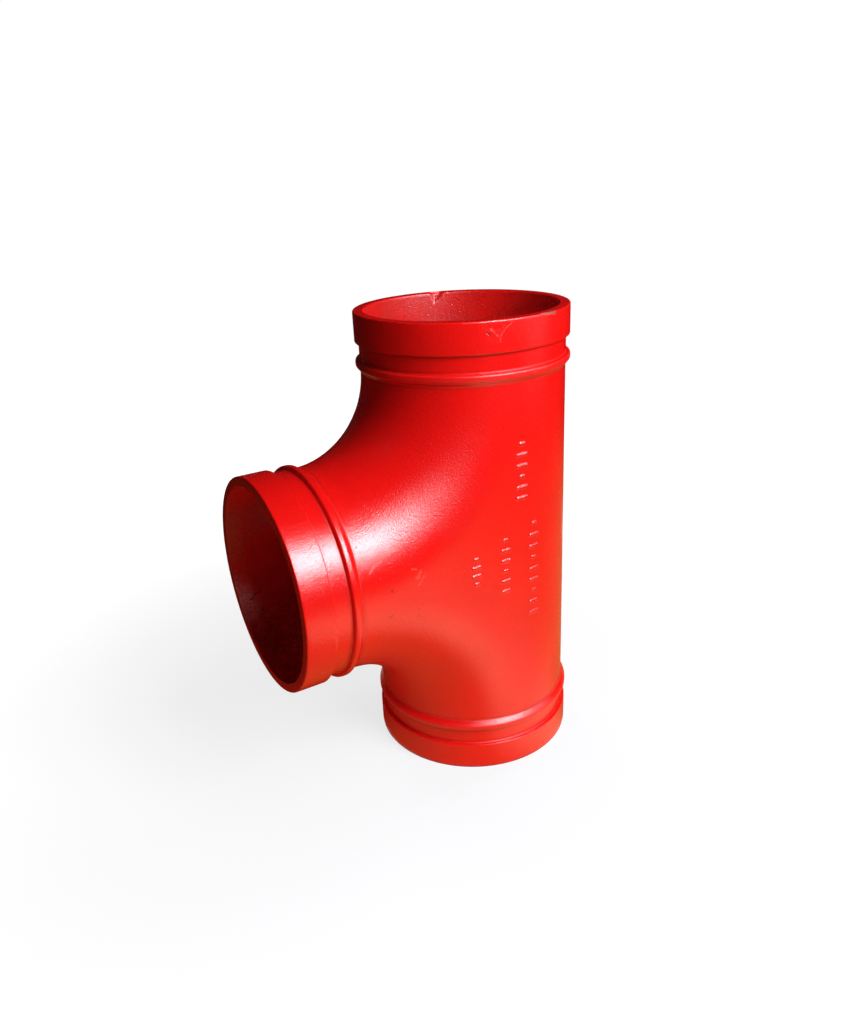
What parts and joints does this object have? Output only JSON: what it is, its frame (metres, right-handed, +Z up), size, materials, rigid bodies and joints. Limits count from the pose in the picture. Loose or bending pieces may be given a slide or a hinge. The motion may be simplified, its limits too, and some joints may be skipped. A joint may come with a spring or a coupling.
{
  "type": "grooved tee",
  "caption": "Equal pipe tee in red-painted ductile iron: a straight run and a side branch with swept crotches; each open end has a lip, a coupling groove and a raised bead.",
  "frame": {"origin": "where the centre lines of the run and of the branch cross", "axes": "+Z up along the run, -X along the branch towards its open end, -Y out of the front web"},
  "size_m": [0.1845, 0.1148, 0.254],
  "materials": {
    "red_enamel": "gloss"
  },
  "bodies": {
    "root": {"tee_casting": "red_enamel"}
  },
  "joints": []
}
